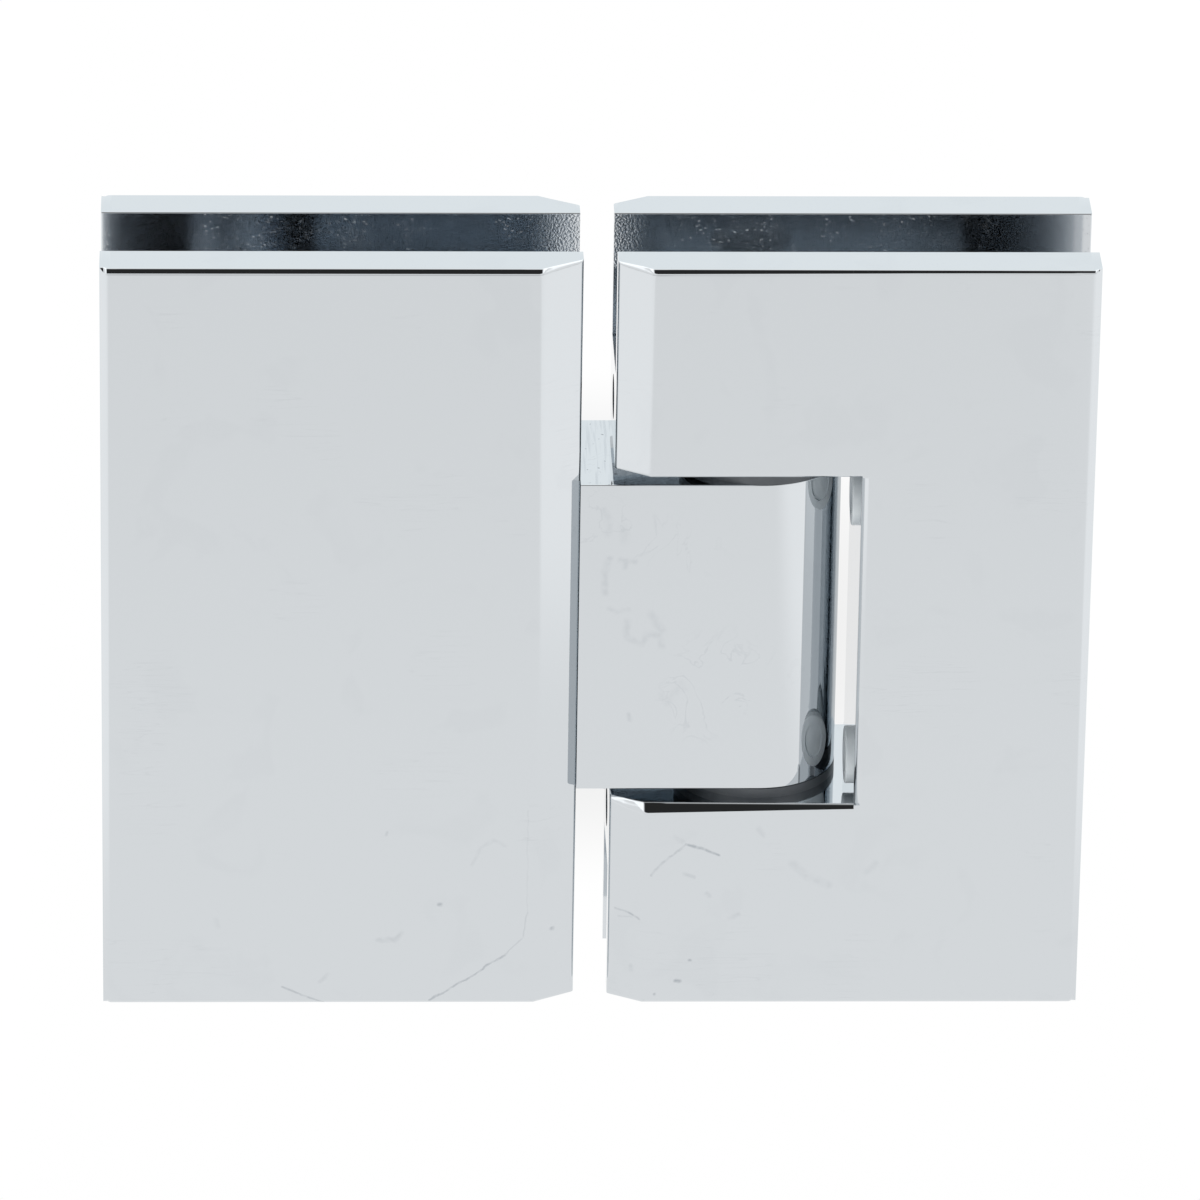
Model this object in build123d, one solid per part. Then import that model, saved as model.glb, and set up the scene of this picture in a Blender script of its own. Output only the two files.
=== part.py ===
"""Glass-to-glass door hinge: two clamps that close on glass panels, joined by a self-centring pivot.

The hinge stands on the bottom edges of its clamps. The origin is the middle of that footprint,
+X points from the fixed leaf to the door leaf, -Y is the plain show side and +Z is up.
All lengths are in millimetres.
"""

import os
from math import radians, tan

from build123d import *

# Clamp plates: four alike slabs, two on each leaf
plate_width = 53.2
plate_height = 90.0
plate_thickness = 5.5
glass_slot = 11.0  # between a front plate and its back plate
leaf_gap = 3.8  # between the inner edges of the two leaves
fixed_bevel_width = 4.6  # swing bevel across the show face, along the inner edge
door_bevel_width = 3.9
swing_bevel_angle = 33.0  # from the show face
crease_radius = 1.5
edge_chamfer = 0.45
top_chamfer_end = 0.22  # of the door leaf's show plate, at its outer edge
notch_floor_chamfer = 1.05  # at the inner edge
notch_floor_chamfer_end = 0.45  # at the notch wall
notch_top_chamfer = 0.25
notch_wall_chamfer = 0.7
seat_recess = 0.4  # depth of the locating recesses in the plates' inner faces
seat_clearance = 0.15

# Knuckle block: the tongue between the leaves and the tenon inside the fixed leaf
knuckle_height = 37.4
knuckle_thickness = 18.1
knuckle_chamfer = 0.15
tenon_length = 29.0
tenon_height = 54.0
pin_inset = 16.6  # from the door leaf's inner edge to the pin's axis
nose_gap = 1.7  # from the knuckle's round nose to the notch wall

# Pin, washers and ears
pin_diameter = 9.0
pin_end_recess = 0.3
pin_end_chamfer = 0.5
running_clearance = 0.03  # radial, pin in knuckle
seated_clearance = 0.02  # radial, pin in ears
washer_thickness = 1.1
washer_bore_clearance = 0.15
axial_play = 0.6
ear_height = 10.2
spine_width = 13.6  # door boss behind the notch wall

# Detent: two sprung plungers that drop onto flats of the pin
detent_depth = 0.45
detent_flat_length = 18.0
detent_spacing = 10.0
detent_gap = 0.03  # from a drawn-back plunger to the pin's full radius
plunger_diameter = 6.9
plunger_length = 8.0
plunger_stem_diameter = 3.2
plunger_stem_length = 3.0
plunger_clearance = 0.05
plunger_chamfer = 0.3
spring_wire = 1.2
spring_outside = 6.4
spring_turns = 10
spring_end_gap = 0.02
plug_diameter = 8.0
plug_length = 6.0
plug_socket = 4.0  # across flats
plug_socket_depth = 3.5
plug_recess = 0.5

# Screws
thread_clearance = 0.03
clamp_screw_diameter = 6.0
clamp_screw_length = 16.0
fixed_clamp_inset = 37.5  # from the leaf's inner edge
door_clamp_inset = 33.5
clamp_boss_diameter = 12.0
block_screw_length = 20.0
block_screw_inset = 13.0
block_screw_spacing = 26.4
screw_hole_clearance = 0.25
tip_chamfer = 0.5
head_diameter = 11.6
head_rim = 0.4
head_sink = 0.15  # below the back face
head_clearance = 0.1
socket_width = 4.0  # across flats
socket_depth = 2.6
tap_margin = 0.5  # tapped hole beyond the screw's end
grub_diameter = 5.0
grub_length = 8.0
grub_socket = 2.5
grub_socket_depth = 2.8
grub_flat_depth = 0.25  # flat on the pin under each grub screw
grub_flat_length = 7.0

# Stop buffers in the notch wall
buffer_diameter = 6.5
buffer_height = 0.95
buffer_edge_radius = 0.2
buffer_dish_diameter = 4.2
buffer_dish_depth = 0.25
buffer_stem_diameter = 3.0
buffer_stem_length = 4.0
buffer_stem_clearance = 0.02
buffer_from_notch_end = 4.2
buffer_from_face = 4.6

# Places that follow from the sizes above
seat_y = glass_slot / 2
face_y = seat_y + plate_thickness
inner_x = leaf_gap / 2
outer_x = inner_x + plate_width
mid_z = plate_height / 2
pin_x = inner_x + pin_inset
nose_radius = knuckle_thickness / 2
notch_height = knuckle_height + 2 * washer_thickness + axial_play
notch_x = pin_x + nose_radius + nose_gap
notch_bottom = mid_z - notch_height / 2
notch_top = mid_z + notch_height / 2
boss_x = notch_x + spine_width
knuckle_bottom = notch_bottom + washer_thickness
knuckle_top = knuckle_bottom + knuckle_height
knuckle_mid = (knuckle_bottom + knuckle_top) / 2
tenon_x = -inner_x - tenon_length
pin_radius = pin_diameter / 2
boss_rise = notch_height / 2 + ear_height  # above and below mid height
ear_mid = notch_height / 2 + ear_height / 2
fixed_clamp_x = -inner_x - fixed_clamp_inset
door_clamp_x = inner_x + door_clamp_inset
block_x = -inner_x - block_screw_inset
grub_tip_x = pin_x - pin_radius + grub_flat_depth
plunger_x = pin_x - pin_radius - detent_gap
plug_x = tenon_x + plug_recess
buffer_y = face_y - buffer_from_face
buffer_rise = notch_height / 2 - buffer_from_notch_end
overcut = 1.0  # how far cutting tools run past a surface

UP_AND_DOWN = {"upper": 1, "lower": -1}


def block(x, y, z):
    """A box from three (low, high) pairs."""
    size = Box(x[1] - x[0], y[1] - y[0], z[1] - z[0])
    return Pos((x[0] + x[1]) / 2, (y[0] + y[1]) / 2, (z[0] + z[1]) / 2) * size


def rod(radius, start, end):
    """A cylinder between two points on a line along X, Y or Z."""
    direction = Vector(*end) - Vector(*start)
    plane = Plane(origin=start, z_dir=direction)
    return extrude(plane * Circle(radius), direction.length)


def hexagon(across_flats, start, end):
    """A hexagonal prism between two points, for sockets."""
    direction = Vector(*end) - Vector(*start)
    plane = Plane(origin=start, z_dir=direction)
    key = RegularPolygon(across_flats / 2, 6, major_radius=False)
    return extrude(plane * key, direction.length)


def edge_cutter(start, end, one_side, other_side, size, end_size=None):
    """The wedge that a chamfer takes off an edge. The sides point into the metal from the edge."""
    one = Vector(*one_side)
    other = Vector(*other_side)
    sections = []
    for corner, leg in ((Vector(*start), size), (Vector(*end), end_size or size)):
        outside = corner - (one + other) * overcut
        reach = leg + 2 * overcut
        outline = Polyline(outside, outside + one * reach, outside + other * reach, close=True)
        sections.append(make_face(outline))
    return loft(sections)


def ring(outside, inside, start, end):
    """A tube or washer between two points on its axis."""
    return rod(outside, start, end) - rod(inside, start, end)


def plate_blank(bevel_width):
    """A plain slab with its swing bevel, placed as the door leaf's front plate."""
    bevel_depth = bevel_width * tan(radians(swing_bevel_angle))
    outline = Polyline(
        (inner_x, -seat_y),
        (outer_x, -seat_y),
        (outer_x, -face_y),
        (inner_x + bevel_width, -face_y),
        (inner_x, bevel_depth - face_y),
        close=True,
    )
    slab = extrude(make_face(outline), plate_height, dir=(0, 0, 1))
    crease = slab.edges().filter_by(Axis.Z).sort_by(Axis.Y)[:2].sort_by(Axis.X)[0]
    return fillet(crease, crease_radius)


def chamfer_outline(plate, top_end=edge_chamfer):
    """Breaks the show face's top, bottom and outer edges. The top chamfer may taper outwards."""
    left = inner_x - overcut
    right = outer_x + overcut
    into = (0, 1, 0)
    plate -= edge_cutter((left, -face_y, 0), (right, -face_y, 0), into, (0, 0, 1), edge_chamfer)
    start = (left, -face_y, plate_height)
    end = (right, -face_y, plate_height)
    plate -= edge_cutter(start, end, into, (0, 0, -1), edge_chamfer, top_end)
    low = (outer_x, -face_y, -overcut)
    high = (outer_x, -face_y, plate_height + overcut)
    plate -= edge_cutter(low, high, into, (-1, 0, 0), edge_chamfer)
    return plate


def cut_notch(plate):
    """Opens the notch for the knuckle. Its front edges are hand-finished, so the lower one tapers."""
    left = inner_x - overcut
    into = (0, 1, 0)
    plate -= block((left, notch_x), (-face_y - overcut, -seat_y + overcut), (notch_bottom, notch_top))
    plate -= edge_cutter(
        (left, -face_y, notch_bottom),
        (notch_x, -face_y, notch_bottom),
        into,
        (0, 0, -1),
        notch_floor_chamfer,
        notch_floor_chamfer_end,
    )
    plate -= edge_cutter(
        (left, -face_y, notch_top), (notch_x, -face_y, notch_top), into, (0, 0, 1), notch_top_chamfer
    )
    plate -= edge_cutter(
        (notch_x, -face_y, notch_bottom), (notch_x, -face_y, notch_top), into, (1, 0, 0), notch_wall_chamfer
    )
    return plate


def countersunk_screw(x, z, length):
    """A countersunk socket screw that enters from the back face along -Y."""
    top = face_y - head_sink
    shank_radius = clamp_screw_diameter / 2
    cone = head_diameter / 2 - shank_radius
    profile = Polyline(
        (0, top),
        (head_diameter / 2, top),
        (head_diameter / 2, top - head_rim),
        (shank_radius, top - head_rim - cone),
        (shank_radius, top - length + tip_chamfer),
        (shank_radius - tip_chamfer, top - length),
        (0, top - length),
        close=True,
    )
    screw = revolve(make_face(profile), Axis.Y)
    screw -= hexagon(socket_width, (0, top, 0), (0, top - socket_depth, 0))
    return Pos(x, 0, z) * screw


def screw_seat(x, z):
    """The clearance hole and countersink in a back plate."""
    radius = clamp_screw_diameter / 2 + screw_hole_clearance
    head_radius = head_diameter / 2 + head_clearance
    cone_end = face_y - head_sink - head_rim - (head_radius - radius)
    profile = Polyline(
        (0, face_y + overcut),
        (head_radius, face_y + overcut),
        (head_radius, face_y - head_sink - head_rim),
        (radius, cone_end),
        (radius, seat_y - overcut),
        (0, seat_y - overcut),
        close=True,
    )
    return Pos(x, 0, z) * revolve(make_face(profile), Axis.Y)


def tapped_hole(x, z, length):
    """The blind hole that a back-entry screw of this length threads into."""
    tip = face_y - head_sink - length - tap_margin
    return rod(clamp_screw_diameter / 2 + thread_clearance, (x, tip, z), (x, face_y, z))


def door_front_plate():
    """Show plate and C-shaped boss in one casting; the boss's ears hold the pin."""
    plate = chamfer_outline(cut_notch(plate_blank(door_bevel_width)), top_chamfer_end)
    boss_y = (-seat_y, seat_y + seat_recess)
    boss = block((inner_x, boss_x), boss_y, (mid_z - boss_rise, mid_z + boss_rise))
    boss -= block((inner_x - overcut, notch_x), (-face_y, face_y), (notch_bottom, notch_top))
    plate += boss
    bore_bottom = (pin_x, 0, mid_z - boss_rise - overcut)
    plate -= rod(pin_radius + seated_clearance, bore_bottom, (pin_x, 0, mid_z + boss_rise + overcut))
    for side in UP_AND_DOWN.values():
        z = mid_z + side * ear_mid
        plate -= rod(grub_diameter / 2 + thread_clearance, (inner_x - overcut, 0, z), (pin_x, 0, z))
        plate -= tapped_hole(door_clamp_x, z, clamp_screw_length)
        y = -buffer_y
        z = mid_z + side * buffer_rise
        stem_end = notch_x + buffer_stem_length + tap_margin
        stem_radius = buffer_stem_diameter / 2 + buffer_stem_clearance
        plate -= rod(stem_radius, (notch_x - overcut, y, z), (stem_end, y, z))
    return plate


def door_back_plate():
    """Flat plate that the clamp screws pull onto the glass, with a shallow recess for the boss."""
    plate = mirror(chamfer_outline(cut_notch(plate_blank(door_bevel_width))), Plane.XZ)
    rise = boss_rise + seat_clearance
    plate -= block(
        (inner_x - overcut, boss_x + seat_clearance),
        (seat_y - overcut, seat_y + seat_recess),
        (mid_z - rise, mid_z + rise),
    )
    for side in UP_AND_DOWN.values():
        plate -= screw_seat(door_clamp_x, mid_z + side * ear_mid)
    return plate


def tenon(clearance=0.0, overrun=0.0):
    """The knuckle's tall tenon. Grown and run past the inner edge, it cuts its own recess."""
    x = (tenon_x - clearance, -inner_x + overrun)
    y = (-seat_y - seat_recess, seat_y + seat_recess)
    rise = tenon_height / 2 + clearance
    return block(x, y, (knuckle_mid - rise, knuckle_mid + rise))


def fixed_front_plate():
    """Show plate of the fixed leaf, with two round bosses that take the clamp screws."""
    plate = mirror(chamfer_outline(plate_blank(fixed_bevel_width)), Plane.YZ) - tenon(seat_clearance, overcut)
    for side in UP_AND_DOWN.values():
        z = mid_z + side * ear_mid
        boss_end = (fixed_clamp_x, seat_y + seat_recess, z)
        plate += rod(clamp_boss_diameter / 2, (fixed_clamp_x, -seat_y, z), boss_end)
        plate -= tapped_hole(fixed_clamp_x, z, clamp_screw_length)
        plate -= tapped_hole(block_x, knuckle_mid + side * block_screw_spacing / 2, block_screw_length)
    return plate


def fixed_back_plate():
    """Back plate of the fixed leaf, recessed for the tenon and the two bosses."""
    plate = mirror(chamfer_outline(plate_blank(fixed_bevel_width)), Plane.YZ)
    plate = mirror(plate, Plane.XZ) - tenon(seat_clearance, overcut)
    for side in UP_AND_DOWN.values():
        z = mid_z + side * ear_mid
        seat_radius = clamp_boss_diameter / 2 + seat_clearance
        start = (fixed_clamp_x, seat_y - overcut, z)
        plate -= rod(seat_radius, start, (fixed_clamp_x, seat_y + seat_recess, z))
        plate -= screw_seat(fixed_clamp_x, z)
        plate -= screw_seat(block_x, knuckle_mid + side * block_screw_spacing / 2)
    return plate


def knuckle_block():
    """Machined block: a round-nosed tongue that carries the pin, and a tenon between the fixed plates."""
    tongue = block((-inner_x, pin_x), (-nose_radius, nose_radius), (knuckle_bottom, knuckle_top))
    tongue += rod(nose_radius, (pin_x, 0, knuckle_bottom), (pin_x, 0, knuckle_top))
    rims = tongue.edges().filter_by_position(Axis.Z, knuckle_bottom, knuckle_bottom)
    rims += tongue.edges().filter_by_position(Axis.Z, knuckle_top, knuckle_top)
    shoulder = tongue.edges().filter_by_position(Axis.X, -inner_x, -inner_x)
    tongue = chamfer([rim for rim in rims if rim not in shoulder], knuckle_chamfer)
    body = tongue + tenon()
    bore_radius = pin_radius + running_clearance
    body -= rod(bore_radius, (pin_x, 0, knuckle_bottom - overcut), (pin_x, 0, knuckle_top + overcut))
    for side in UP_AND_DOWN.values():
        z = knuckle_mid + side * detent_spacing / 2
        body -= rod(plunger_diameter / 2 + plunger_clearance, (tenon_x, 0, z), (pin_x, 0, z))
        plug_radius = plug_diameter / 2 + thread_clearance
        body -= rod(plug_radius, (tenon_x - overcut, 0, z), (plug_x + plug_length, 0, z))
        z = knuckle_mid + side * block_screw_spacing / 2
        hole_radius = clamp_screw_diameter / 2 + screw_hole_clearance
        body -= rod(hole_radius, (block_x, -face_y, z), (block_x, face_y, z))
    return body


def hinge_pin():
    """Ground pin with three long detent flats and a small flat under each grub screw."""
    low = mid_z - boss_rise + pin_end_recess
    high = mid_z + boss_rise - pin_end_recess
    pin = rod(pin_radius, (pin_x, 0, low), (pin_x, 0, high))
    pin = chamfer(pin.edges(), pin_end_chamfer)
    half = detent_flat_length / 2
    flat = block(
        (-pin_radius - overcut, detent_depth - pin_radius),
        (-pin_radius, pin_radius),
        (knuckle_mid - half, knuckle_mid + half),
    )
    for turn in (-90, 0, 90):
        pin -= Pos(pin_x, 0, 0) * Rot(0, 0, turn) * flat
    for side in UP_AND_DOWN.values():
        z = mid_z + side * ear_mid
        pin -= block(
            (pin_x - pin_radius - overcut, grub_tip_x),
            (-pin_radius, pin_radius),
            (z - grub_flat_length / 2, z + grub_flat_length / 2),
        )
    return pin


def detent_plunger(side):
    """Sprung plunger, drawn back as it lies when the pin's full radius faces it."""
    z = knuckle_mid + side * detent_spacing / 2
    back = plunger_x - plunger_length
    body = rod(plunger_diameter / 2, (back, 0, z), (plunger_x, 0, z))
    body = chamfer(body.edges(), plunger_chamfer)
    return body + rod(plunger_stem_diameter / 2, (back - plunger_stem_length, 0, z), (back, 0, z))


def detent_spring(side):
    """Round-wire compression spring between the plunger and its plug."""
    z = knuckle_mid + side * detent_spacing / 2
    start = plug_x + plug_length + spring_wire / 2 + spring_end_gap
    end = plunger_x - plunger_length - spring_wire / 2 - spring_end_gap
    radius = (spring_outside - spring_wire) / 2
    coil = Helix((end - start) / spring_turns, end - start, radius)
    wire = sweep((coil ^ 0) * Circle(spring_wire / 2), path=coil, is_frenet=True)
    return Pos(start, 0, z) * Rot(0, 90, 0) * wire


def spring_plug(side):
    """Threaded plug that closes a spring bore and sets the spring's force."""
    z = knuckle_mid + side * detent_spacing / 2
    plug = rod(plug_diameter / 2, (plug_x, 0, z), (plug_x + plug_length, 0, z))
    plug = chamfer(plug.edges(), tip_chamfer)
    return plug - hexagon(plug_socket, (plug_x, 0, z), (plug_x + plug_socket_depth, 0, z))


def pin_grub_screw(side):
    """Socket set screw whose flat end bears on the pin, so that the pin turns with the door leaf."""
    z = mid_z + side * ear_mid
    head_x = grub_tip_x - grub_length
    screw = rod(grub_diameter / 2, (head_x, 0, z), (grub_tip_x, 0, z))
    screw = chamfer(screw.edges(), tip_chamfer)
    return screw - hexagon(grub_socket, (head_x, 0, z), (head_x + grub_socket_depth, 0, z))


def thrust_washer(low):
    """Plain washer between the knuckle and an ear, flush with the knuckle's nose."""
    bore = pin_radius + washer_bore_clearance
    return ring(nose_radius, bore, (pin_x, 0, low), (pin_x, 0, low + washer_thickness))


def stop_buffer(side):
    """Soft button that the knuckle's flat meets if the door is pushed past its range."""
    y = -buffer_y
    z = mid_z + side * buffer_rise
    face_x = notch_x - buffer_height
    head = rod(buffer_diameter / 2, (face_x, y, z), (notch_x, y, z))
    head = fillet(head.edges().sort_by(Axis.X)[0], buffer_edge_radius)
    head -= rod(buffer_dish_diameter / 2, (face_x, y, z), (face_x + buffer_dish_depth, y, z))
    return head + rod(buffer_stem_diameter / 2, (notch_x, y, z), (notch_x + buffer_stem_length, y, z))


NODES = {
    "fixed_front_plate": fixed_front_plate(),
    "fixed_back_plate": fixed_back_plate(),
    "knuckle_block": knuckle_block(),
    "door_front_plate": door_front_plate(),
    "door_back_plate": door_back_plate(),
    "hinge_pin": hinge_pin(),
    "thrust_washer_upper": thrust_washer(knuckle_top),
    "thrust_washer_lower": thrust_washer(notch_bottom),
}
for name, side in UP_AND_DOWN.items():
    screw_z = mid_z + side * ear_mid
    block_z = knuckle_mid + side * block_screw_spacing / 2
    NODES["fixed_clamp_screw_" + name] = countersunk_screw(fixed_clamp_x, screw_z, clamp_screw_length)
    NODES["door_clamp_screw_" + name] = countersunk_screw(door_clamp_x, screw_z, clamp_screw_length)
    NODES["block_screw_" + name] = countersunk_screw(block_x, block_z, block_screw_length)
    NODES["pin_grub_screw_" + name] = pin_grub_screw(side)
    NODES["detent_plunger_" + name] = detent_plunger(side)
    NODES["detent_spring_" + name] = detent_spring(side)
    NODES["spring_plug_" + name] = spring_plug(side)
    NODES["stop_buffer_" + name] = stop_buffer(side)

os.makedirs("parts", exist_ok=True)
for node, shape in NODES.items():
    export_step(shape, f"parts/{node}.step")
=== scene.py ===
"""Looks of a glass-to-glass door hinge in polished chrome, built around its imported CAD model.

The sections follow the hinge as it is put together: the fixed leaf, its knuckle block, the door leaf,
then the small parts and the studio. Lengths are in metres, in the frame of the CAD model.
"""

import math

import bmesh
import bpy
import numpy as np
from mathutils import Matrix, Vector


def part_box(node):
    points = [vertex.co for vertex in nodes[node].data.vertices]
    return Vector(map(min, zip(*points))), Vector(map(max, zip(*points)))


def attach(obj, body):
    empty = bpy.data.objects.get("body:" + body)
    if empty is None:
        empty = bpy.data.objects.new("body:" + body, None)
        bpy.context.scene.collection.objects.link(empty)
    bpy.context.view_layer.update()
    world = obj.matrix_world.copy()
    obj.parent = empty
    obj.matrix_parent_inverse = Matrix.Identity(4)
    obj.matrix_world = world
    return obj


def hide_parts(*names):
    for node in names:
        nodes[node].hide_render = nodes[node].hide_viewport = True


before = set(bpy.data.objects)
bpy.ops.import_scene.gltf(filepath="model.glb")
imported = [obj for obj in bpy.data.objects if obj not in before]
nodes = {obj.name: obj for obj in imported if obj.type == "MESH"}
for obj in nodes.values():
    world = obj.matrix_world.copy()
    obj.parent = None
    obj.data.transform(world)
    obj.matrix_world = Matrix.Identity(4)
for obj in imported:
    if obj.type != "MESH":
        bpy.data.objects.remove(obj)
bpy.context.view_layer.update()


# Clamp plates of the fixed leaf: die-cast slabs, buffed and chrome-plated. Buffing has rounded every
# edge of the show side and rolled the faces off beside the chamfers. Inside the glass slot the
# plating lies on the bare casting.

MM = 0.001
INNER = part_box("door_back_plate")[0].x
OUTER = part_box("door_back_plate")[1].x
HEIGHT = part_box("door_back_plate")[1].z
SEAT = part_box("fixed_back_plate")[0].y
FIXED_BEVEL = 4.6 * MM
BEVEL_SLOPE = math.tan(math.radians(33))
CHAMFER = 0.45 * MM
FIXED_TOP_CHAMFER = 0.5 * MM
OUTER_CHAMFER = 0.75 * MM  # along the upright edge away from the gap
RUN_OUT = 0.3  # what is left of a chamfer where it meets the inner edge
SOFTNESS = 0.09 * MM  # of the roll beside a chamfer
RIM_RADIUS = 0.08 * MM
INNER_RADIUS = 0.22 * MM  # of the upright edge beside the gap
SLOT_RADIUS = 0.14 * MM
CORE = 1.3 * MM  # buffing doesn't reach metal this close to the slot face
HAIR = 0.01 * MM  # what lies closer than this counts as touching
# distances from an edge at which a skin is cut, close by, further off and beside the slope's crease
STEPS = np.array((0.01, 0.04, 0.1, 0.17, 0.24, 0.31, 0.38, 0.45, 0.52, 0.6, 0.68)) * MM
FAR_STEPS = np.array((0.75, 0.82, 0.9, 1.0, 1.1, 1.2, 1.35, 1.55, 1.9, 2.5)) * MM
CREASE_STEPS = np.array((-2.4, -1.2, -0.6, -0.4, -0.2, 0, 0.2, 0.4, 0.6, 1.2, 2.4)) * MM
CHROME = (0.651, 0.679, 0.701, 1)
# as-cast plating in the slot with painted light: set lighter than the door leaf's for the light this slot
# gets
FIXED_CAST_AND_LIGHT = (0.72, 0.747, 0.773, 1)  # the plating in the slot
DULLED = (0.4, 0.43, 0.46, 1)  # under a mark


def chamfered(distance, leg):
    """How far a skin falls back beside an edge with a chamfer of this leg.

    Half the sum of the leg less the distance and the root of that difference squared plus the
    softness squared: a slope of one, level metal far away, and a soft roll between them.
    """
    beyond = leg - distance
    return 0.5 * (beyond + np.sqrt(beyond**2 + SOFTNESS**2))


def rounded(distance, radius):
    """How far a surface falls back in a quarter round: the radius less the circle's height."""
    inside = np.clip(radius - distance, 0.0, radius)
    return radius - np.sqrt(radius**2 - inside**2)


def read(collection, field, width):
    """One field of a mesh collection as an array with a row for each member."""
    values = np.empty(len(collection) * width, np.float32)
    collection.foreach_get(field, values)
    return values.reshape(-1, width).astype(float)


def clean_copy(name):
    """A CAD node's surface, merged, with its flat faces joined up again."""
    shape = bmesh.new()
    shape.from_mesh(nodes[name].data)
    bmesh.ops.remove_doubles(shape, verts=shape.verts, dist=0.002 * MM)
    flat = math.radians(0.2)
    bmesh.ops.dissolve_limit(shape, angle_limit=flat, verts=shape.verts, edges=shape.edges)
    return shape


def finished(shape, name, sharp_angle):
    """Makes the piece of a worked copy: smooth across blends and sharp along real corners."""
    mesh = bpy.data.meshes.new(name + "_finished")
    shape.to_mesh(mesh)
    shape.free()
    if "custom_normal" in mesh.attributes:
        mesh.attributes.remove(mesh.attributes["custom_normal"])
    mesh.shade_smooth()
    mesh.set_sharp_from_angle(angle=math.radians(sharp_angle))
    piece = bpy.data.objects.new(name + "_finished", mesh)
    bpy.context.scene.collection.objects.link(piece)
    return piece


def cut(shape, faces, place, normal):
    """Cuts some faces of a shape along a plane, keeping both sides."""
    edges = dict.fromkeys(edge for face in faces for edge in face.edges)
    points = dict.fromkeys(point for face in faces for point in face.verts)
    geometry = list(faces) + list(edges) + list(points)
    bmesh.ops.bisect_plane(shape, geom=geometry, dist=1e-7, plane_co=place, plane_no=normal)


def buffed_plate(name, leaf, side, bevel_width, top_legs=(CHAMFER, CHAMFER), notch=None):
    """A copy of a CAD plate whose edges are rounded and rolled off as buffing leaves them.

    The copy is cut along lines that crowd towards each edge, then its skin falls back by the sum of
    a chamfered and a rounded term for every edge, less what the CAD has cut there.
    """
    shape = clean_copy(name)
    rows = np.concatenate((STEPS, FAR_STEPS))
    cuts = [((0, 0, z), (0, 0, 1)) for z in np.concatenate((rows, HEIGHT - rows))]
    across_cuts = np.concatenate((OUTER - rows, INNER + 0.7 * STEPS, INNER + bevel_width + CREASE_STEPS))
    if notch:
        cuts += [((0, 0, notch["bottom"] - row), (0, 0, 1)) for row in rows]
        cuts += [((0, 0, notch["top"] + row), (0, 0, 1)) for row in STEPS]
        cuts.append(((leaf * notch["wall"], 0, 0), (1, 0, 0)))
    cuts += [((leaf * x, 0, 0), (1, 0, 0)) for x in across_cuts]
    cuts += [((0, side * (SEAT + row), 0), (0, 1, 0)) for row in 0.4 * STEPS[:6]]
    for place, normal in cuts:
        cut(shape, shape.faces[:], place, normal)
    if notch:
        # only the faces beside the notch, to just past the last row below it and above it
        low, high = notch["bottom"] - 2.6 * MM, notch["top"] + 0.7 * MM
        for x in notch["wall"] + rows:
            beside = [face for face in shape.faces if all(low < v.co.z < high for v in face.verts)]
            cut(shape, beside, (leaf * x, 0, 0), (1, 0, 0))
    piece = finished(shape, name, 180)
    mesh = piece.data

    co = read(mesh.vertices, "co", 3)
    across, depth, z = leaf * co[:, 0], side * co[:, 1], co[:, 2]
    inward = across - INNER
    bevel = BEVEL_SLOPE * np.clip(bevel_width - inward, 0, None)
    run_out = RUN_OUT + (1 - RUN_OUT) * np.clip(inward / bevel_width, 0, 1)

    def edge_fall(distance, leg, weight=1.0):
        """The chamfered and the rounded term beside an edge, less the CAD's own chamfer."""
        cad_chamfer = np.clip(leg - distance - bevel, 0, None)
        near = (distance > -0.1 * HAIR) * weight
        distance = np.clip(distance, 0, None)
        return near * (chamfered(distance, leg * run_out) + rounded(distance, RIM_RADIUS) - cad_chamfer)

    share = np.clip(inward / (OUTER - INNER), 0, 1)
    fall = edge_fall(HEIGHT - z, top_legs[0] * (1 - share) + top_legs[1] * share)
    fall += edge_fall(z, CHAMFER)
    fall += chamfered(OUTER - across, OUTER_CHAMFER) - np.clip(CHAMFER - OUTER + across, 0, None)
    fall += rounded(np.clip(inward, 0, None), INNER_RADIUS)
    if notch:
        fade = 0.15 * MM  # over which the notch's edges die out beyond its corners
        past_wall = np.exp(-((np.clip(across - notch["wall"], 0, None) / fade) ** 2))
        below, above = notch["bottom"] - z, z - notch["top"]
        past_ends = np.exp(-(((np.clip(below, 0, None) + np.clip(above, 0, None)) / fade) ** 2))
        share = np.clip(inward / (notch["wall"] - INNER), 0, 1) ** 2.5
        floor_leg = notch["floor_legs"][0] * (1 - share) + notch["floor_legs"][1] * share
        fall += edge_fall(below, floor_leg, past_wall) + edge_fall(above, notch["top_leg"], past_wall)
        fall += edge_fall(across - notch["wall"], notch["wall_leg"], past_ends)
    depth = np.where(depth > SEAT + CORE, depth - fall, depth)

    plate = depth > SEAT - 0.1 * HAIR
    lip = rounded(np.clip(depth - SEAT, 0, None), SLOT_RADIUS)
    z = np.where(plate, np.clip(z, lip, HEIGHT - lip), z)
    across = np.where(plate, np.minimum(across, OUTER - lip), across)
    moved = np.stack((leaf * across, side * depth, z), 1)
    mesh.vertices.foreach_set("co", moved.astype(np.float32).ravel())
    mesh.update()

    centre, facing = read(mesh.polygons, "center", 3), read(mesh.polygons, "normal", 3)
    across, depth, z = leaf * centre[:, 0], side * centre[:, 1], centre[:, 2]
    in_gap = across < INNER + HAIR
    if notch:
        beside = (z > notch["bottom"] - HAIR) & (z < notch["top"] + HAIR)
        in_gap |= beside & (across < notch["wall"] + HAIR)
    slot_face = (np.abs(facing[:, 1]) > 0.95) & (depth < SEAT + 0.5 * MM)
    cast = slot_face | ((depth < SEAT - HAIR) & ~in_gap)
    mesh.attributes.new("cast_skin", "FLOAT", "FACE").data.foreach_set("value", cast.astype(np.float32))
    mesh.set_sharp_from_angle(angle=math.radians(32))
    piece.modifiers.new("weighted_normals", "WEIGHTED_NORMAL").keep_sharp = True
    return piece


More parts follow.
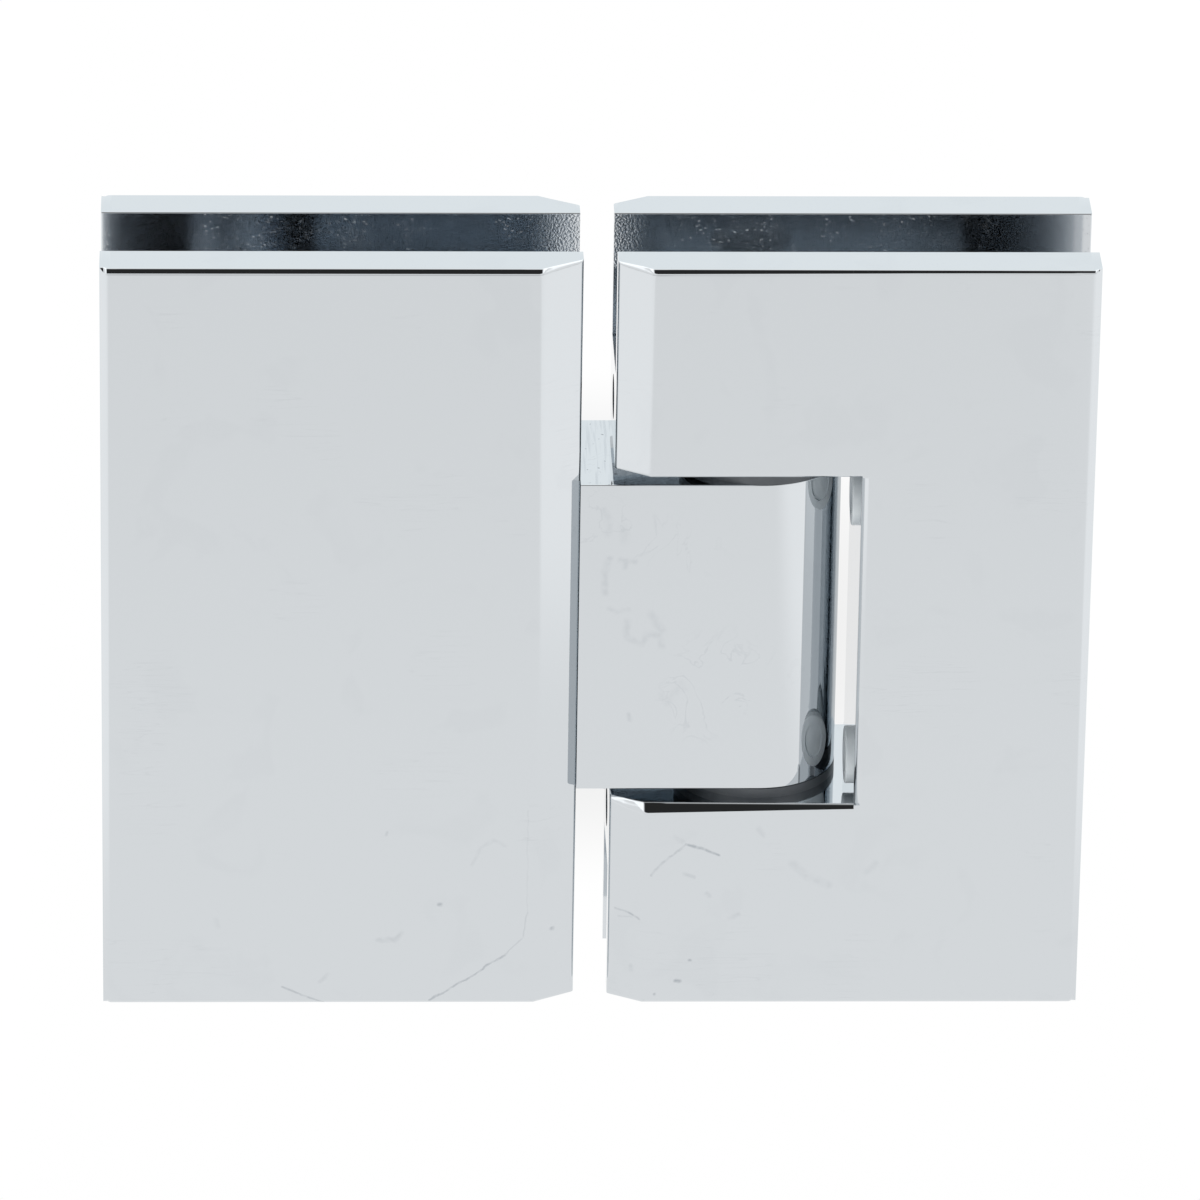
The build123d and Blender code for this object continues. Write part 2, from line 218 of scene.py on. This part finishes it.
def blank_material(piece, colour, metallic, roughness):
    """Gives a piece a fresh material and returns its tree, its shader and the piece's coordinates."""
    material = bpy.data.materials.new(piece.name)
    material.use_nodes = True
    tree = material.node_tree
    shader = tree.nodes["Principled BSDF"]
    shader.inputs["Base Color"].default_value = colour
    shader.inputs["Metallic"].default_value = metallic
    shader.inputs["Roughness"].default_value = roughness
    place = tree.nodes.new("ShaderNodeTexCoord").outputs["Object"]
    piece.data.materials.clear()
    piece.data.materials.append(material)
    return tree, shader, place


def ramp(tree, value, start, end, low, high, kind="SMOOTHSTEP"):
    """A change from low to high as the value goes from start to end, eased at both ends or linear."""
    node = tree.nodes.new("ShaderNodeMapRange")
    node.interpolation_type = kind
    for socket, number in zip(("From Min", "From Max", "To Min", "To Max"), (start, end, low, high)):
        node.inputs[socket].default_value = number
    tree.links.new(value, node.inputs["Value"])
    return node.outputs[0]


def reckon(tree, operation, *values):
    """One Math node on sockets and plain numbers."""
    node = tree.nodes.new("ShaderNodeMath")
    node.operation = operation
    for socket, value in zip(node.inputs, values):
        if isinstance(value, (int, float)):
            socket.default_value = value
        else:
            tree.links.new(value, socket)
    return node.outputs[0]


def product(tree, first, *others):
    """All the values multiplied together."""
    total = first
    for value in others:
        total = reckon(tree, "MULTIPLY", total, value)
    return total


def crest(tree, value, middle, reach):
    """One where the value lies on its middle, and nought from this reach on, to both sides."""
    away = reckon(tree, "ABSOLUTE", reckon(tree, "SUBTRACT", value, middle))
    return ramp(tree, away, 0.0, reach, 1.0, 0.0)


def axes(tree, place):
    """The three coordinates of a place, each on its own socket."""
    node = tree.nodes.new("ShaderNodeSeparateXYZ")
    tree.links.new(place, node.inputs[0])
    return node.outputs


def stretched(tree, place, scale, turn=(0, 0, 0)):
    """The piece's coordinates turned and scaled by axis, for marks that run one way."""
    node = tree.nodes.new("ShaderNodeMapping")
    node.inputs["Rotation"].default_value = turn
    node.inputs["Scale"].default_value = scale
    tree.links.new(place, node.inputs["Vector"])
    return node.outputs[0]


def noise(tree, place, scale, detail=0.0, distortion=0.0):
    """The grey value of a noise texture, about 0.5 on average."""
    node = tree.nodes.new("ShaderNodeTexNoise")
    for socket, number in (("Scale", scale), ("Detail", detail), ("Distortion", distortion)):
        node.inputs[socket].default_value = number
    tree.links.new(place, node.inputs["Vector"])
    return node.outputs["Fac"]


def attribute(tree, name):
    """A number stored on the piece's faces."""
    node = tree.nodes.new("ShaderNodeAttribute")
    node.attribute_name = name
    return node.outputs["Fac"]


def blend(tree, factor, first, second):
    """A colour between two, each a socket or a plain colour."""
    node = tree.nodes.new("ShaderNodeMix")
    node.data_type = "RGBA"
    tree.links.new(factor, node.inputs["Factor"])
    for socket, colour in (("A", first), ("B", second)):
        if isinstance(colour, tuple):
            node.inputs[socket].default_value = colour
        else:
            tree.links.new(colour, node.inputs[socket])
    return node.outputs["Result"]


def relief(tree, shader, height, distance):
    """Raises a height of 0 to 1 by this distance."""
    node = tree.nodes.new("ShaderNodeBump")
    node.inputs["Distance"].default_value = distance
    tree.links.new(height, node.inputs["Height"])
    tree.links.new(node.outputs[0], shader.inputs["Normal"])


def hairlines(tree, place, scale, turn, sparsity):
    """Thin scratches that run one way: the crests of a long-drawn noise where a coarse noise lets them."""
    fine = noise(tree, stretched(tree, place, scale, turn), 1.0, 1.0, 0.3)
    patch = ramp(tree, noise(tree, place, 90.0), sparsity, sparsity + 0.06, 0.0, 1.0)
    return product(tree, crest(tree, fine, 0.5, 0.012), patch)


def strokes(tree, place, lines):
    """Single marks on the show side: a half width in mm, a strength and points x, z in mm to pass through.

    The distance to a leg of a mark is what is left of the way from the leg's start once the share
    along the leg is taken off, and that share stays between nought and one.
    """
    sway = 0.25 * MM  # how far a hand's line strays to each side
    wander = reckon(tree, "MULTIPLY_ADD", noise(tree, place, 620.0, 2.0), 2 * sway, -sway)
    x, y, z = axes(tree, place)
    flat = tree.nodes.new("ShaderNodeCombineXYZ")
    tree.links.new(reckon(tree, "ADD", x, wander), flat.inputs["X"])
    tree.links.new(reckon(tree, "SUBTRACT", z, wander), flat.inputs["Z"])
    legs = [(mark[:2], start, end) for mark in lines for start, end in zip(mark[2:], mark[3:])]
    total = 0.0
    for (width, strength), (x1, z1), (x2, z2) in legs:
        way = Vector((x2 - x1, 0, z2 - z1)) * MM
        offset, share, foot, gap = (tree.nodes.new("ShaderNodeVectorMath") for _ in range(4))
        offset.operation, share.operation = "SUBTRACT", "DOT_PRODUCT"
        foot.operation, gap.operation = "SCALE", "DISTANCE"
        offset.inputs[1].default_value = (x1 * MM, 0, z1 * MM)
        share.inputs[1].default_value = way / way.length_squared
        foot.inputs[0].default_value = way
        tree.links.new(flat.outputs[0], offset.inputs[0])
        tree.links.new(offset.outputs["Vector"], share.inputs[0])
        along = ramp(tree, share.outputs["Value"], 0.0, 1.0, 0.0, 1.0, "LINEAR")
        tree.links.new(along, foot.inputs["Scale"])
        tree.links.new(offset.outputs["Vector"], gap.inputs[0])
        tree.links.new(foot.outputs["Vector"], gap.inputs[1])
        stroke = ramp(tree, gap.outputs["Value"], 0.0, width * MM, strength, 0.0)
        total = reckon(tree, "MAXIMUM", stroke, total)
    broken = ramp(tree, noise(tree, place, 1300.0, 2.0), 0.35, 0.6, 0.45, 1.0)
    show_side = ramp(tree, y, -7 * MM, -6 * MM, 1.0, 0.0)
    return product(tree, total, broken, show_side)


def slot_relief(tree, place, cast):
    """Height of the bare casting: pebbles towards the leaf's inner end and scattered nicks.

    Both keep off the outer part of the slot but for its last millimetre. Below the top they also keep
    off a strip at the inner end, which stays smooth because the gap shows it at a grazing angle.
    """
    x, _, z = axes(tree, place)
    sideways = reckon(tree, "ABSOLUTE", x)
    black_end = ramp(tree, sideways, OUTER - 12 * MM, OUTER - 8 * MM, 1.0, 0.0)
    outer_end = ramp(tree, sideways, OUTER - 1.4 * MM, OUTER - 0.8 * MM, 0.0, 0.25)
    inner_end = ramp(tree, sideways, INNER + 2 * MM, INNER + 7 * MM, 0.8, 0.03)
    lip = ramp(tree, sideways, INNER + 0.9 * MM, INNER + 1.6 * MM, 0.03, 1.0)
    lip = reckon(tree, "MAXIMUM", lip, ramp(tree, z, HEIGHT - 7 * MM, HEIGHT - 6 * MM, 0.0, 1.0))
    pebbles = product(tree, noise(tree, place, 3800.0, 2.0), product(tree, inner_end, lip, black_end))
    nicks = noise(tree, stretched(tree, place, (2000.0, 2000.0, 4200.0), (0, 0.5, 0)), 1.0, 2.0)
    nicks = ramp(tree, nicks, 0.65, 0.7, 0.0, 0.9)
    field = ramp(tree, noise(tree, place, 260.0), 0.42, 0.6, 0.05, 0.5)
    field = reckon(tree, "MAXIMUM", product(tree, field, black_end, lip), outer_end)
    return product(tree, reckon(tree, "MAXIMUM", pebbles, product(tree, nicks, field)), cast)


def plated(piece, cast_and_light_colour, lines=()):
    """Chrome plate over a casting: polished and lightly marked outside, as cast in the slot.

    In the slot it has a colour of its own, partly painted light, darkened towards the outer edge as painted
    shade.
    """
    tree, shader, place = blank_material(piece, CHROME, 1.0, 0.04)
    cast = attribute(tree, "cast_skin")
    smudge = ramp(tree, noise(tree, place, 110.0, 3.0, 0.6), 0.56, 0.66, 0.0, 1.0)
    rising = hairlines(tree, place, (60.0, 60.0, 1400.0), (0, 0.5, 0), 0.6)
    falling = hairlines(tree, place, (50.0, 50.0, 1500.0), (0, -0.35, 0), 0.62)
    x, _, z = axes(tree, place)
    near_top = ramp(tree, z, HEIGHT - 0.1 * MM, HEIGHT - 0.02 * MM, 0.3, 0.0)
    scratches = product(tree, reckon(tree, "MAXIMUM", rising, falling), near_top)
    marks = reckon(tree, "MULTIPLY_ADD", smudge, 0.14, scratches)
    colour = blend(tree, product(tree, marks, 0.35), CHROME, (0.45, 0.47, 0.5, 1))
    if lines:
        single = strokes(tree, place, lines)
        colour = blend(tree, single, colour, DULLED)
        marks = reckon(tree, "MAXIMUM", marks, single)
    # painted shade: the slot's colour darkens towards the outer edge
    outward = ramp(tree, reckon(tree, "ABSOLUTE", x), 36 * MM, 41 * MM, 0.0, 1.0)
    darker = tuple(0.92 * part for part in cast_and_light_colour[:3]) + (1,)
    colour = blend(tree, cast, colour, blend(tree, outward, cast_and_light_colour, darker))
    tree.links.new(colour, shader.inputs["Base Color"])
    polish = ramp(tree, marks, 0.0, 0.3, 0.035, 0.09)
    duller_cast = reckon(tree, "ADD", polish, product(tree, cast, 0.04))
    tree.links.new(duller_cast, shader.inputs["Roughness"])
    relief(tree, shader, slot_relief(tree, place, cast), 0.04 * MM)


FIXED_MARKS = (
    # two scratches at the lower edge, the second one climbing towards the gap as it fades
    (0.21, 0.62, (-34.9, 2.2), (-32.6, 1.1), (-30.3, 0.2)),
    (0.2, 0.72, (-18.3, 0.5), (-14.0, 3.2), (-9.8, 6.2)),
    (0.17, 0.28, (-9.8, 6.2), (-7.7, 8.4), (-7.3, 11.5)),
    (0.14, 0.12, (-7.3, 11.5), (-7.35, 24.3)),
    # three nicks
    (0.4, 0.7, (-17.2, 12.5), (-17.0, 12.5)),
    (0.38, 0.7, (-4.5, 8.9), (-4.3, 8.8)),
    (0.3, 0.5, (-23.3, 21.3), (-23.2, 21.6)),
    # faint rubs
    (0.6, 0.26, (-24.0, 8.1), (-22.2, 8.1), (-21.5, 8.9)),
    (0.4, 0.13, (-13.6, 17.6), (-12.6, 19.6), (-11.2, 20.6), (-9.9, 19.9)),
    (0.4, 0.2, (-30.6, 2.8), (-29.8, 3.8)),
    (0.6, 0.13, (-42.3, 10.6), (-42.2, 9.9)),
)
for name, side, lines in (("fixed_front_plate", -1, FIXED_MARKS), ("fixed_back_plate", 1, ())):
    plate = buffed_plate(name, -1, side, FIXED_BEVEL, (FIXED_TOP_CHAMFER, FIXED_TOP_CHAMFER))
    plated(plate, FIXED_CAST_AND_LIGHT, lines)
    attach(plate, "fixed_leaf")
    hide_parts(name)

# Knuckle block: turned and milled from bar, its corners eased with a fine stone, then plated. The
# flats above and below the tongue keep faint marks of the belt.


def belted(piece, turn, lines):
    """Bright plate over belt-ground metal: faint streaks that run one way and a few pits."""
    tree, shader, place = blank_material(piece, CHROME, 1.0, 0.04)
    streaks = noise(tree, stretched(tree, place, (2600.0, 120.0, 400.0), turn), 1.0, 2.0)
    pits = ramp(tree, noise(tree, place, 1500.0), 0.78, 0.81, 0.0, 1.0)
    level = attribute(tree, "level_face")
    marks = product(tree, ramp(tree, streaks, 0.52, 0.68, 0.0, 1.0), level)
    ring = crest(tree, noise(tree, place, 170.0, 4.0, 1.6), 0.56, 0.02)
    stains = product(tree, ring, ramp(tree, noise(tree, place, 60.0), 0.5, 0.62, 0.0, 0.3))
    worn = reckon(tree, "MAXIMUM", product(tree, marks, 0.5), stains)
    colour = blend(tree, worn, CHROME, (0.5, 0.53, 0.56, 1))
    single = strokes(tree, place, lines)
    colour = blend(tree, single, colour, DULLED)
    worn = reckon(tree, "MAXIMUM", worn, single)
    colour = blend(tree, product(tree, pits, level), colour, (0.3, 0.32, 0.34, 1))
    tree.links.new(colour, shader.inputs["Base Color"])
    tree.links.new(ramp(tree, worn, 0.0, 1.0, 0.035, 0.16), shader.inputs["Roughness"])
    relief(tree, shader, product(tree, streaks, level), 0.004 * MM)


TONGUE_MARKS = (
    # dried drops down the left side
    (0.68, 0.24, (1.35, 54.5), (0.9, 52.6), (1.0, 50.3)),
    (0.6, 0.22, (2.6, 54.3), (3.3, 54.2), (4.2, 54.1)),
    (0.6, 0.22, (3.3, 54.2), (3.2, 53.4)),
    (0.48, 0.19, (1.4, 48.4), (2.4, 47.9), (3.7, 48.1)),
    (0.75, 0.14, (0.6, 60.4), (1.3, 59.2), (1.2, 57.5)),
    (0.9, 0.12, (2.9, 58.2), (3.1, 56.6)),
    # finger prints in the middle
    (0.65, 0.2, (3.6, 46.6), (3.3, 45.4), (3.6, 44.7), (5.2, 44.0), (5.8, 45.2), (7.2, 45.0), (7.5, 43.6)),
    (0.8, 0.18, (6.2, 47.6), (6.9, 46.4), (7.4, 45.6)),
    (0.45, 0.26, (3.95, 35.2), (4.05, 34.6)),
    (0.8, 0.1, (7.5, 37.6), (8.2, 36.7), (9.6, 39.1), (10.0, 38.6)),
)
shape = clean_copy("knuckle_block")
nose_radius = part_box("knuckle_block")[1].y
pin_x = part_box("knuckle_block")[1].x - nose_radius
nose_rings = (nose_radius, nose_radius - 0.15 * MM)
# the nose comes as flat facets: each is split in four, and the splits are moved out onto the circle
skin = [v.co for v in shape.verts if v.co.x > pin_x and v.co.xy.length > 0]
skin = [c for c in skin if math.hypot(c.x - pin_x, c.y) > nose_radius - HAIR]
facets = [math.atan2(c.y, c.x - pin_x) for c in skin]
facets = np.unique(np.round(facets, 3))
splits = facets[:-1, None] + np.diff(facets)[:, None] * np.array((0.25, 0.5, 0.75))
for turn in splits.ravel():
    cut(shape, shape.faces[:], (pin_x, 0, 0), (-math.sin(turn), math.cos(turn), 0))
knuckle = finished(shape, "knuckle_block", 60)
co = read(knuckle.data.vertices, "co", 3)
out = np.hypot(co[:, 0] - pin_x, co[:, 1])
grown = np.ones(len(out))
for ring in nose_rings:
    grown = np.where((co[:, 0] > pin_x) & (np.abs(out - ring) < 0.06 * MM), ring / out, grown)
co[:, 0] = pin_x + (co[:, 0] - pin_x) * grown
co[:, 1] *= grown
knuckle.data.vertices.foreach_set("co", co.astype(np.float32).ravel())
knuckle.data.update()
facing = read(knuckle.data.polygons, "normal", 3)
level = knuckle.data.attributes.new("level_face", "FLOAT", "FACE")
level.data.foreach_set("value", (facing[:, 2] > 0.9).astype(np.float32))
eased = knuckle.modifiers.new("eased_corners", "BEVEL")
eased.limit_method = "ANGLE"
eased.angle_limit = math.radians(60)
eased.width = 0.2 * MM
eased.segments = 3
knuckle.modifiers.new("weighted_normals", "WEIGHTED_NORMAL").keep_sharp = True
belted(knuckle, (0, 0, 0.9), TONGUE_MARKS)
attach(knuckle, "fixed_leaf")
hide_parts("knuckle_block")

# Clamp plates of the door leaf: the same slabs with a notch for the knuckle. The notch's lower edge
# was chamfered by hand, so that the chamfer narrows towards the notch's wall.

DOOR_BEVEL = 3.9 * MM
# as-cast plating in the slot with painted shade: set darker than the fixed leaf's for the light this slot
# gets
DOOR_CAST_AND_LIGHT = (0.674, 0.7, 0.724, 1)
END_PLAY = 0.6 * MM  # between the upper washer and the notch's top
BUFFER_STEM = 4 * MM  # sunk in the notch's wall
notch = {
    "bottom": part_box("thrust_washer_lower")[0].z,
    "top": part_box("thrust_washer_upper")[1].z + END_PLAY,
    "wall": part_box("stop_buffer_upper")[1].x - BUFFER_STEM,
    "floor_legs": (1.12 * MM, 0.06 * MM),
    "top_leg": 0.25 * MM,
    "wall_leg": 0.7 * MM,
}
DOOR_MARKS = (
    # the hooked scratch under the opening, deepest at its right-hand end
    (0.26, 0.45, (6.6, 16.2), (8.7, 18.6), (10.6, 19.9)),
    (0.26, 0.85, (10.6, 19.9), (12.2, 19.6), (14.2, 18.7)),
    # a scratch across the slope, with a fainter one under it
    (0.24, 0.7, (2.7, 11.1), (3.9, 11.1), (5.3, 10.6)),
    (0.2, 0.2, (3.0, 10.3), (4.6, 10.5)),
    # nicks near the lower corner
    (0.3, 0.85, (11.1, 5.5), (11.2, 5.5)),
    (0.4, 0.9, (9.6, 2.9), (10.1, 2.8)),
    (0.25, 0.6, (7.2, 1.2), (7.3, 1.2)),
    # faint rubs
    (0.5, 0.18, (9.2, 21.0), (10.2, 20.3)),
    (0.38, 0.28, (10.3, 16.4), (11.4, 16.0)),
    (0.45, 0.26, (12.9, 13.9), (13.2, 13.6)),
    (0.5, 0.2, (15.6, 10.8), (16.6, 11.2)),
    (0.6, 0.18, (18.6, 22.0), (19.2, 21.2)),
    (0.8, 0.17, (22.6, 17.6), (24.2, 16.0), (26.6, 15.0)),
    (0.7, 0.13, (31.0, 16.6), (32.0, 17.6)),
    (0.5, 0.2, (4.5, 4.4), (4.6, 3.9)),
)
for name, side, top_legs, lines in (
    ("door_front_plate", -1, (0.56 * MM, 0.22 * MM), DOOR_MARKS),
    ("door_back_plate", 1, (CHAMFER, CHAMFER), ()),
):
    plate = buffed_plate(name, 1, side, DOOR_BEVEL, top_legs, notch)
    plated(plate, DOOR_CAST_AND_LIGHT, lines)
    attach(plate, "door_leaf")
    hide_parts(name)

# Pin, plungers and springs: hard ground steel, with the grinding lines round the pin and the
# plungers, and a darker drawn skin on the springs.


def ground_steel(piece, colour, roughness, line_scale):
    """Steel with fine lines across one axis and a slow stain."""
    tree, shader, place = blank_material(piece, colour, 1.0, roughness)
    lines = noise(tree, stretched(tree, place, line_scale), 1.0, 2.0)
    stain = noise(tree, place, 140.0, 2.0)
    dull = tuple(0.72 * part for part in colour[:3]) + (1,)
    skin = blend(tree, ramp(tree, stain, 0.4, 0.7, 0.0, 1.0), colour, dull)
    tree.links.new(skin, shader.inputs["Base Color"])
    tree.links.new(ramp(tree, lines, 0.3, 0.7, roughness * 0.8, roughness * 1.4), shader.inputs["Roughness"])
    relief(tree, shader, lines, 0.006 * MM)


ground_steel(nodes["hinge_pin"], (0.55, 0.56, 0.57, 1), 0.22, (60.0, 60.0, 4000.0))
for end in ("upper", "lower"):
    ground_steel(nodes["detent_plunger_" + end], (0.5, 0.51, 0.52, 1), 0.24, (4000.0, 60.0, 60.0))
    ground_steel(nodes["detent_spring_" + end], (0.36, 0.35, 0.34, 1), 0.32, (900.0, 900.0, 900.0))

# Screws and plugs: bright plated socket heads at the back, black set screws under them for the pin
# and for the springs.


def turned_head(piece, colour, roughness):
    """Machined plating with fine rings round the screw's axis and dirt in small spots."""
    tree, shader, place = blank_material(piece, colour, 1.0, roughness)
    rings = noise(tree, stretched(tree, place, (700.0, 3000.0, 700.0)), 1.0, 1.0)
    spots = ramp(tree, noise(tree, place, 1300.0, 1.0), 0.62, 0.72, 0.0, 0.5)
    dark = tuple(0.5 * part for part in colour[:3]) + (1,)
    tree.links.new(blend(tree, spots, colour, dark), shader.inputs["Base Color"])
    tree.links.new(ramp(tree, rings, 0.3, 0.7, roughness * 0.8, roughness * 1.5), shader.inputs["Roughness"])
    relief(tree, shader, rings, 0.004 * MM)


for end in ("upper", "lower"):
    for kind in ("fixed_clamp_screw_", "door_clamp_screw_", "block_screw_"):
        turned_head(nodes[kind + end], (0.62, 0.63, 0.64, 1), 0.12)
    for kind in ("pin_grub_screw_", "spring_plug_"):
        turned_head(nodes[kind + end], (0.06, 0.06, 0.065, 1), 0.38)

# Washers and stop buffers: moulded parts, grey nylon and a softer, paler rubber with a faint bloom. The
# washers lie loose round the pin, and the buffers' stems are pressed into the notch's wall.


def moulded(piece, colour, bloom, roughness):
    """Plastic or rubber with a fine grain and a paler bloom in patches."""
    tree, shader, place = blank_material(piece, colour, 0.0, roughness)
    patches = ramp(tree, noise(tree, place, 420.0, 3.0), 0.4, 0.7, 0.0, 1.0)
    tree.links.new(blend(tree, patches, colour, bloom), shader.inputs["Base Color"])
    relief(tree, shader, noise(tree, place, 5000.0, 1.0), 0.006 * MM)


for end in ("upper", "lower"):
    moulded(nodes["thrust_washer_" + end], (0.083, 0.093, 0.104, 1), (0.104, 0.116, 0.128, 1), 0.36)
    moulded(nodes["stop_buffer_" + end], (0.66, 0.71, 0.74, 1), (0.72, 0.77, 0.79, 1), 0.42)

# Studio: a white floor whose glow is painted light, darkening away in front and brighter to the sides, with
# a painted soft shadow behind the hinge; light from the sides and from above and behind, and a dark zone
# over the camera. Two plates facing each other in a glass slot show up to nine reflections.

floor_mesh = bpy.data.meshes.new("floor")
reach = 6.0
corners = [(-reach, -reach, 0), (reach, -reach, 0), (reach, reach, 0), (-reach, reach, 0)]
floor_mesh.from_pydata(corners, [], [(0, 1, 2, 3)])
floor = bpy.data.objects.new("floor", floor_mesh)
bpy.context.scene.collection.objects.link(floor)
tree, glowing_floor, place = blank_material(floor, (0, 0, 0, 1), 0.0, 1.0)
glowing_floor.inputs["Specular IOR Level"].default_value = 0.0
glowing_floor.inputs["Emission Color"].default_value = (1, 1, 1, 1)
x, y, _ = axes(tree, place)
# painted light on the floor: brighter to the sides, dimmer away in front, and a painted shadow behind the
# hinge
sides = ramp(tree, reckon(tree, "ABSOLUTE", x), 0.06, 0.12, 1.0, 1.12)
near = ramp(tree, y, -0.03, -0.24, 1.0, 0.96)
far = ramp(tree, y, -0.22, -0.8, 1.0, 0.6)
shadow_y, shadow_depth, shadow_width = 0.095, 0.085, 0.06
along = reckon(tree, "MULTIPLY_ADD", y, 1 / shadow_depth, -shadow_y / shadow_depth)
across = reckon(tree, "MULTIPLY", x, 1 / shadow_width)
outward = reckon(tree, "ADD", product(tree, along, along), product(tree, across, across))
shadow = ramp(tree, outward, 0.15, 0.85, 0.14, 0.0)
glow = product(tree, near, far, sides, reckon(tree, "SUBTRACT", 1.0, shadow))
tree.links.new(glow, glowing_floor.inputs["Emission Strength"])

world = bpy.data.worlds.new("studio")
bpy.context.scene.world = world
world.use_nodes = True
tree = world.node_tree
x, y, z = axes(tree, tree.nodes.new("ShaderNodeTexCoord").outputs["Generated"])
sideways = reckon(tree, "ABSOLUTE", x)
front = ramp(tree, y, 0.05, -0.25, 0.0, 1.0)
high = ramp(tree, z, -0.05, 0.7, 0.0, 1.0)
middle = ramp(tree, sideways, 0.25, 0.6, 1.0, 0.0)
unlit = reckon(tree, "MULTIPLY_ADD", product(tree, front, high, middle), -0.975, 1.0)
overhead = ramp(tree, z, 0.45, 0.8, 0.0, 1.0)
softbox = reckon(tree, "MULTIPLY_ADD", overhead, ramp(tree, sideways, 0.1, 0.5, 0.12, 0.6), 1.0)
level = product(tree, softbox, unlit)
behind = ramp(tree, y, 0.2, 0.8, 0.0, 1.0)
background = tree.nodes["Background"]
tree.links.new(blend(tree, behind, (1, 1, 1, 1), (1.025, 1.07, 1.09, 1)), background.inputs["Color"])
tree.links.new(level, background.inputs["Strength"])

camera = bpy.data.cameras.new("camera")
camera.lens = 315.0
camera.sensor_width = 36.0
camera.clip_start = 0.1
camera.clip_end = 30.0
viewer = bpy.data.objects.new("camera", camera)
bpy.context.scene.collection.objects.link(viewer)
bpy.context.scene.camera = viewer
yaw, pitch, roll = math.radians(-2.177), math.radians(24.557), math.radians(0.923)
ahead = Vector((-math.sin(yaw) * math.cos(pitch), math.cos(yaw) * math.cos(pitch), -math.sin(pitch)))
right = Vector((math.cos(yaw), math.sin(yaw), 0.0))
up = right.cross(ahead)
tilted_right = right * math.cos(roll) + up * math.sin(roll)
tilted_up = up * math.cos(roll) - right * math.sin(roll)
turn = Matrix((tilted_right, tilted_up, -ahead)).transposed().to_4x4()
viewer.matrix_world = Matrix.Translation((-0.040, -1.07265, 0.53572)) @ turn

bpy.context.scene.view_settings.view_transform = "Standard"
bpy.context.scene.cycles.glossy_bounces = 12
